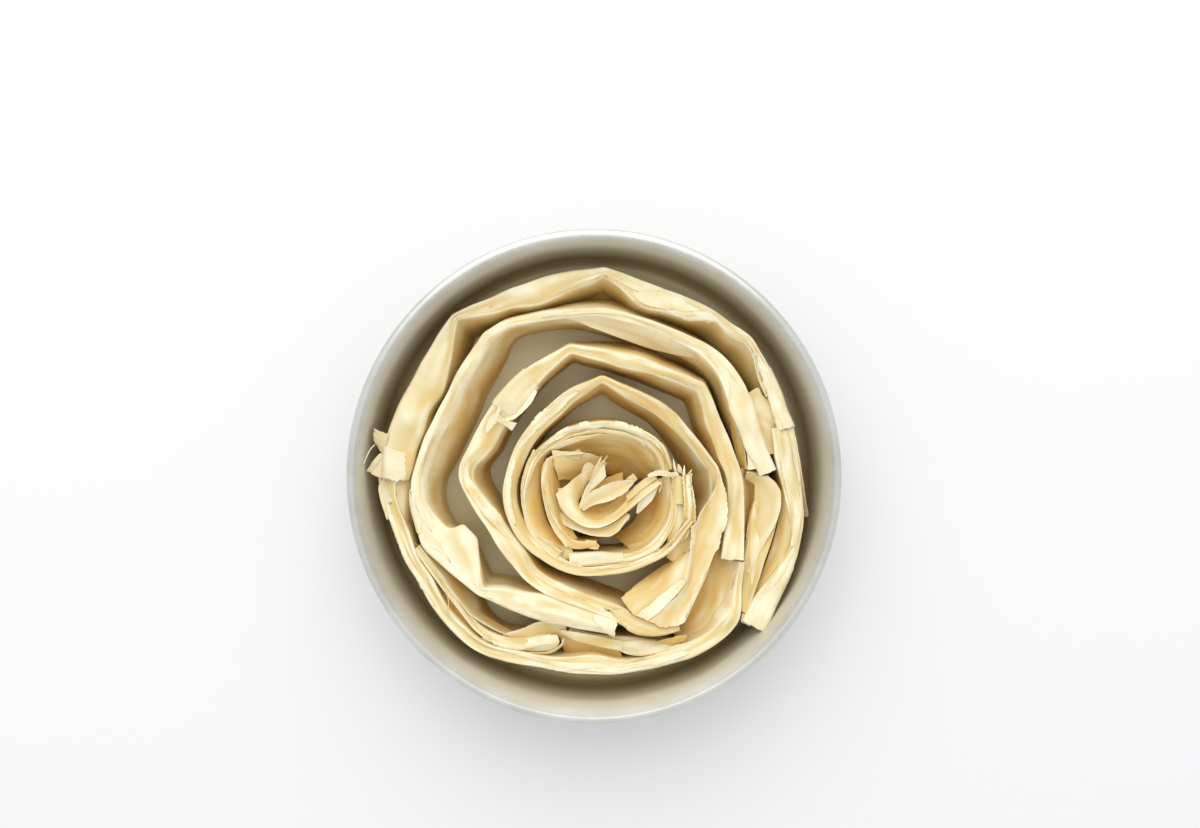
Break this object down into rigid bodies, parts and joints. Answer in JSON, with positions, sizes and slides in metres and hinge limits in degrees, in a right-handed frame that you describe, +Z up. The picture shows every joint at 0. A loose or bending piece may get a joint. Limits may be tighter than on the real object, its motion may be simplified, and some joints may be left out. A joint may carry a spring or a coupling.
{
  "type": "ruffled milk pie",
  "caption": "Round straight-sided aluminium cake tin with a rolled rim, holding folded strips of raw phyllo stood on edge and laid end to end as a spiral rose.",
  "frame": {"origin": "middle of the tin's underside, on the surface it stands on", "axes": "+Z up out of the tin; +X to the right and +Y away, seen from above with the outer strip's cut start at the left"},
  "size_m": [0.2398, 0.2398, 0.055],
  "materials": {
    "tin": "spun aluminium, satin, dulled by use",
    "phyllo": "raw phyllo dough, dry, matte and papery"
  },
  "bodies": {
    "root": {"tin": "tin", "strip_outer_top": "phyllo", "strip_outer_right": "phyllo", "strip_outer_bottom": "phyllo", "strip_bottom_fold": "phyllo", "strip_bottom_tail": "phyllo", "strip_second": "phyllo", "strip_right_fold": "phyllo", "strip_third": "phyllo", "strip_fourth": "phyllo", "strip_flap": "phyllo", "strip_fifth": "phyllo", "strip_sixth": "phyllo", "curl_middle": "phyllo", "curl_lower": "phyllo", "leaf_left": "phyllo", "leaf_right": "phyllo"}
  },
  "joints": []
}
